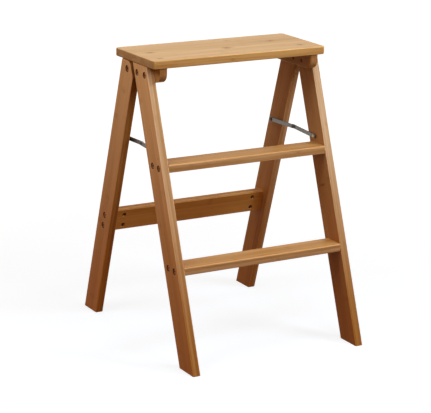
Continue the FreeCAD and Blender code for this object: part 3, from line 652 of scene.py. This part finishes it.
def bamboo(name, centre, turn, strip, seed, wood, marks=(), shade_marks=(), bolts=()):
    """Lacquered bamboo for one board; turn brings its length to X and its width to Y.

    Marks darken the wood round a spot; shade marks paint shade in the same way on the narrow
    faces only. Painted shade darkens the walls of the recesses round the bolts.
    """
    marks = [(in_board_axes(spot, centre, turn), reach) for spot, reach in marks]
    shade_marks = [(in_board_axes(spot, centre, turn), reach) for spot, reach in shade_marks]
    bolts = [in_board_axes(spot, centre, turn) for spot in bolts]
    material, tree, shader = new_material(name)
    where = tree.nodes.new("ShaderNodeTexCoord")
    place = where.outputs["Object"]
    own = turned_to_board(tree, place, "POINT", turn)
    own.inputs["Location"].default_value = in_board_axes(ORIGIN, centre, turn)
    vector = own.outputs[0]
    normal = turned_to_board(tree, where.outputs["Normal"], "VECTOR", turn).outputs[0]
    faces = coloured_faces(tree, place, normal, wood)
    narrow = faces.outputs["Narrow"]
    contrast = remap(tree, faces.outputs["Edge"], 0.0, 1.0, 1.0, NARROW_FACE_CONTRAST)
    grain = use_group(
        tree,
        GRAIN,
        Vector=vector,
        Strip_Width=strip,
        Seed=seed,
        Color=faces.outputs["Color"],
        Contrast=contrast,
    )
    colour = marked(tree, grain.outputs["Color"], vector, marks, 1.0)
    # Painted shade in the crevices, on the narrow faces only.
    colour = marked(tree, colour, vector, shade_marks, narrow)
    colour = worn_and_highlit(tree, colour, faces, place)
    colour = shaded_recesses(tree, colour, vector, bolts, narrow)
    link(tree, colour, shader.inputs["Base Color"])
    end = faces.outputs["End"]
    rough = calc(tree, "MULTIPLY_ADD", end, END_ROUGHNESS, grain.outputs["Roughness"])
    link(tree, rough, shader.inputs["Roughness"])
    shader.inputs["Specular IOR Level"].default_value = VARNISH_SHINE
    shader.inputs["Specular Tint"].default_value = VARNISH
    bump(tree, shader, grain.outputs["Height"], GRAIN_RELIEF, GRAIN_DEPTH)
    return material


def wear(node, material):
    """Puts a finish on every slot of a piece."""
    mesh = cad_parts[node].data
    if not mesh.materials:
        mesh.materials.append(material)
    for slot in range(len(mesh.materials)):
        mesh.materials[slot] = material


def box_middle(node):
    low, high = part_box(node)
    return (low + high) / 2


def leg_middle(node, lean):
    """A point on a leg's middle line, at the floor."""
    low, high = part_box(node)
    half_foot = LEG_WIDTH / cos(lean) / 2
    back = low.y + half_foot if lean > 0 else high.y - half_foot
    return Vector(((low.x + high.x) / 2, back, 0))


def corners_by_bolt(node):
    """The corners of a piece's mesh by bolt; the bolts of one piece lie apart in Y or Z."""
    bolts = []
    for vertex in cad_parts[node].data.vertices:
        for bolt in bolts:
            if (vertex.co - bolt[0]).yz.length < BOLT_REACH:
                bolt.append(vertex.co)
                break
        else:
            bolts.append([vertex.co])
    return bolts


def bolt_places(*nodes):
    """The middle of every bolt in the pieces."""
    places = []
    for node in nodes:
        for bolt in corners_by_bolt(node):
            low = Vector([min(corner[axis] for corner in bolt) for axis in range(3)])
            high = Vector([max(corner[axis] for corner in bolt) for axis in range(3)])
            places.append((low + high) / 2)
    return places


def dress_seat():
    middle = box_middle("seat_board")
    seat = bamboo("seat_bamboo", middle, LEVEL, SEAT_STRIP, SEAT_SEED, SEAT_WOOD, SEAT_MARKS)
    wear("seat_board", seat)


def dress_legs(seed):
    """Dresses the four legs; returns the last number that a board was given."""
    front_woods = (FRONT_LEFT_WOOD, FRONT_RIGHT_WOOD)
    rear_woods = (REAR_LEFT_WOOD, REAR_RIGHT_WOOD)
    front_bolts = ("tread_bolts", "cleat_bolts")
    rear_bolts = ("stretcher_bolts", "pivot_bolt")
    for node, lean, turn, woods, bolts in (
        ("front_leg", FRONT_LEAN, ALONG_FRONT_LEG, front_woods, front_bolts),
        ("rear_leg", REAR_LEAN, ALONG_REAR_LEG, rear_woods, rear_bolts),
    ):
        for side, wood in zip(("left", "right"), woods):
            seed += SEED_STEP
            name = f"{node}_{side}"
            leg = bamboo(
                f"{name}_bamboo",
                leg_middle(name, lean),
                turn,
                LEG_STRIP,
                seed,
                wood,
                marks=LEG_MARKS.get(name, ()),
                shade_marks=CREVICE_SHADES.get(name, ()),
                bolts=bolt_places(*(f"{bolt}_{side}" for bolt in bolts)),
            )
            wear(name, leg)
    return seed


def dress_slats(seed):
    for name, turn, strip, wood in (
        ("cleat_left", ON_EDGE, CLEAT_STRIP, CLEAT_WOOD),
        ("cleat_right", ON_EDGE, CLEAT_STRIP, CLEAT_WOOD),
        ("tread_lower", LEVEL, SLAT_STRIP, TREAD_WOOD),
        ("tread_middle", LEVEL, SLAT_STRIP, TREAD_WOOD),
        ("rear_stretcher", IN_LINE_WITH_REAR_LEGS, SLAT_STRIP, STRETCHER_WOOD),
    ):
        seed += SEED_STEP
        wear(name, bamboo(f"{name}_bamboo", box_middle(name), turn, strip, seed, wood))


def steel(name, colour, roughness, cloud_scale=PLATING_CLOUDS):
    """Plated steel with faint drawn lines and a dull, uneven shine."""
    material, tree, shader = new_material(name)
    place = tree.nodes.new("ShaderNodeTexCoord").outputs["Object"]
    drawn = long_noise(tree, place, DRAWN_SCALE, detail=3.0)
    cloud = noise(tree, place, cloud_scale, detail=4.0)
    dull = remap(tree, cloud, *CLOUD_RANGE)
    shade = [channel * DULL_SHADE for channel in colour[:3]] + [1.0]
    tint = mix_colour(tree, dull, colour, shade)
    # Edges brighter: partly wear of the plating, partly a painted highlight.
    wear_and_highlight = use_group(tree, WEAR_AND_HIGHLIGHT, Vector=place, Radius=STEEL_WEAR_AND_HIGHLIGHT_RADIUS, Amount=STEEL_WEAR_AND_HIGHLIGHT_AMOUNT)
    bright = [min(1.0, channel * WORN_AND_HIGHLIT_SHADE) for channel in colour[:3]] + [1.0]
    tint = mix_colour(tree, wear_and_highlight.outputs["Mask"], tint, bright)
    link(tree, tint, shader.inputs["Base Color"])
    shader.inputs["Metallic"].default_value = 1.0
    rough = calc(tree, "MULTIPLY_ADD", dull, DULL_ROUGHNESS, roughness)
    rough = calc(tree, "MULTIPLY_ADD", drawn, DRAWN_ROUGHNESS, rough)
    link(tree, rough, shader.inputs["Roughness"])
    bump(tree, shader, drawn, STEEL_RELIEF, STEEL_DEPTH)
    return material


def dress_fasteners():
    bronze = steel("bolt_bronze", (0.24, 0.08, 0.014, 1.0), 0.3)
    black = steel("black_oxide", (0.045, 0.035, 0.028, 1.0), 0.35)
    brown = steel("browned_steel", (0.085, 0.033, 0.009, 1.0), 0.35)
    zinc = steel("zinc_strip", (0.17, 0.155, 0.135, 1.0), 0.32, STRIP_CLOUDS)
    brass = steel("brassed_screw", (0.46, 0.3, 0.15, 1.0), 0.25)
    finishes = {
        "tread_bolts": bronze,
        "stretcher_bolts": bronze,
        "cleat_bolts": bronze,
        "pivot_bolt": bronze,
        "cleat_nuts": bronze,
        "pivot_nut": black,
        "tread_barrel_nuts": brown,
        "stretcher_barrel_nuts": brown,
        "seat_screws": black,
        "brace_front_link": zinc,
        "brace_rear_link": zinc,
        "brace_front_washer": zinc,
        "brace_rear_spacer": zinc,
        "brace_front_screw": brass,
        "brace_rear_screw": black,
        "knee_rivet": black,
    }
    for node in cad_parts:
        for start, finish in finishes.items():
            if node.startswith(start):
                wear(node, finish)


def make_camera():
    turn = (
        Matrix.Rotation(AZIMUTH, 3, "Z")
        @ Matrix.Rotation(UPRIGHT - ELEVATION, 3, "X")
        @ Matrix.Rotation(ROLL, 3, "Z")
    )
    bpy.ops.object.camera_add(location=MIDDLE + turn @ CAMERA_PLACE, rotation=turn.to_euler())
    camera = bpy.context.object
    camera.name = "photograph_view"
    camera.data.lens = LENS
    camera.data.sensor_width = SENSOR
    camera.data.clip_end = FAR_CLIP
    bpy.context.scene.camera = camera


def seen_directly(tree):
    """1 for the camera's own rays and for what gloss and glass show of the background."""
    path = tree.nodes.new("ShaderNodeLightPath")
    seen = calc(tree, "ADD", path.outputs["Is Camera Ray"], path.outputs["Is Glossy Ray"])
    return calc(tree, "ADD", seen, path.outputs["Is Transmission Ray"], clamp=True)


def make_world():
    world = bpy.data.worlds.new("studio")
    bpy.context.scene.world = world
    world.use_nodes = True
    tree = world.node_tree
    back = tree.nodes["Background"]
    seen = seen_directly(tree)
    link(tree, mix_colour(tree, seen, AMBIENT, WHITE), back.inputs["Color"])
    link(tree, remap(tree, seen, 0.0, 1.0, AMBIENT_LEVEL, 1.0), back.inputs["Strength"])


def make_floor():
    """A plain pale floor that shows white where it is fully lit and keeps the stool's shadow."""
    bpy.ops.mesh.primitive_plane_add(size=FLOOR_SIZE)
    floor = bpy.context.object
    floor.name = "studio_floor"
    material, tree, shader = new_material("pale_floor")
    seen = seen_directly(tree)
    link(tree, mix_colour(tree, seen, FLOOR_TONE, FLOOR_SEEN), shader.inputs["Base Color"])
    shader.inputs["Roughness"].default_value = FLOOR_ROUGHNESS
    shader.inputs["Specular IOR Level"].default_value = 0.0
    place = tree.nodes.new("ShaderNodeTexCoord").outputs["Object"]
    distance = vector_calc(tree, "LENGTH", place)
    glow = remap(tree, distance, GLOW_NEAR, GLOW_FAR, FLOOR_GLOW, 1.0)
    glow = calc(tree, "MULTIPLY", seen, glow)
    link(tree, mix_colour(tree, glow, BLACK, WHITE), shader.inputs["Emission Color"])
    shader.inputs["Emission Strength"].default_value = 1.0
    floor.data.materials.append(material)


def softbox(name, place, size, power):
    """A square lamp that shines on the stool's upper half."""
    toward = (Vector(place) - Vector(STOOL_TOP)).to_track_quat("Z", "Y").to_euler()
    bpy.ops.object.light_add(type="AREA", location=place, rotation=toward)
    lamp = bpy.context.object
    lamp.name = name
    lamp.data.shape = "SQUARE"
    lamp.data.size = size
    lamp.data.energy = power
    lamp.visible_camera = False
    lamp.visible_glossy = False


def make_lights():
    softbox("key_right", (0.9, -0.9, 1.45), 0.6, 8.8)
    softbox("key_front", (0.1, -1.2, 1.35), 0.6, 4.8)
    softbox("fill_left", (-0.95, -0.1, 1.35), 0.6, 5.1)
    softbox("overhead", (0.0, -0.1, 1.5), 0.8, 1.8)
    softbox("back", (-0.2, 1.5, 2.0), 1.2, 3.0)


dress_seat()
last_seed = dress_legs(FIRST_SEED)
dress_slats(last_seed)
dress_fasteners()
make_camera()
make_world()
make_floor()
make_lights()
bpy.context.scene.view_settings.view_transform = "Standard"
